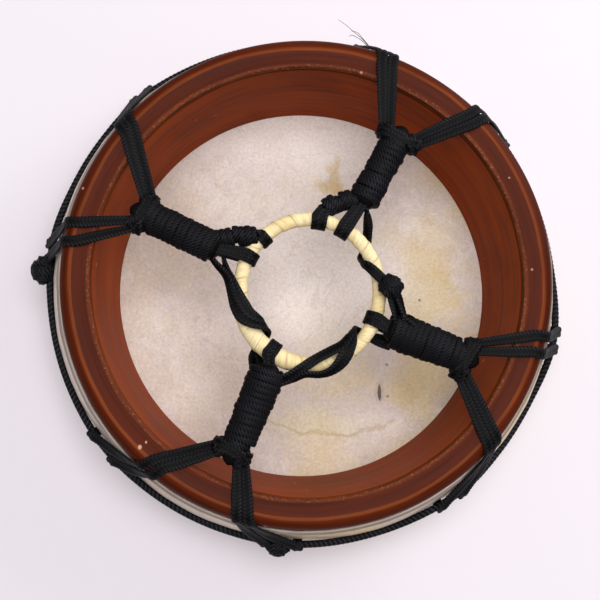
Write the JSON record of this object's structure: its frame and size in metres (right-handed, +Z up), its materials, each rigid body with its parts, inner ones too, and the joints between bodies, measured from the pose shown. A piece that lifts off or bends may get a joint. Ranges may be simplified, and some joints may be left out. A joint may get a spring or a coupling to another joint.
{
  "type": "shaman drum",
  "caption": "Small hand-held shaman drum: a turned wooden hoop with a laced rawhide head and a bound grip ring hung on whipped cord spokes across its open back.",
  "frame": {"origin": "centre of the head's outer face, where the drum lies on the ground", "axes": "+Z up through the open, laced back; +X to the right and +Y away from the viewer in the picture's view"},
  "size_m": [0.2473, 0.244, 0.071],
  "materials": {
    "wood": "reddish brown stain under a satin varnish",
    "rawhide": "natural, unpolished, mottled cream and grey",
    "cord": "waxed black cord with a faint sheen",
    "ring_strip": "smooth pale strip, matt"
  },
  "bodies": {
    "root": {"hoop": "wood", "skin_head": "rawhide", "girth_rope": "cord", "grip_ring": "ring_strip", "lacing_northwest": "cord", "lacing_northeast": "cord", "lacing_southeast": "cord", "lacing_southwest": "cord", "whipping_northwest": "cord", "whipping_northeast": "cord", "whipping_southeast": "cord", "whipping_southwest": "cord", "cross_cord_west": "cord", "cross_cord_south": "cord", "cross_cord_east": "cord"}
  },
  "joints": []
}
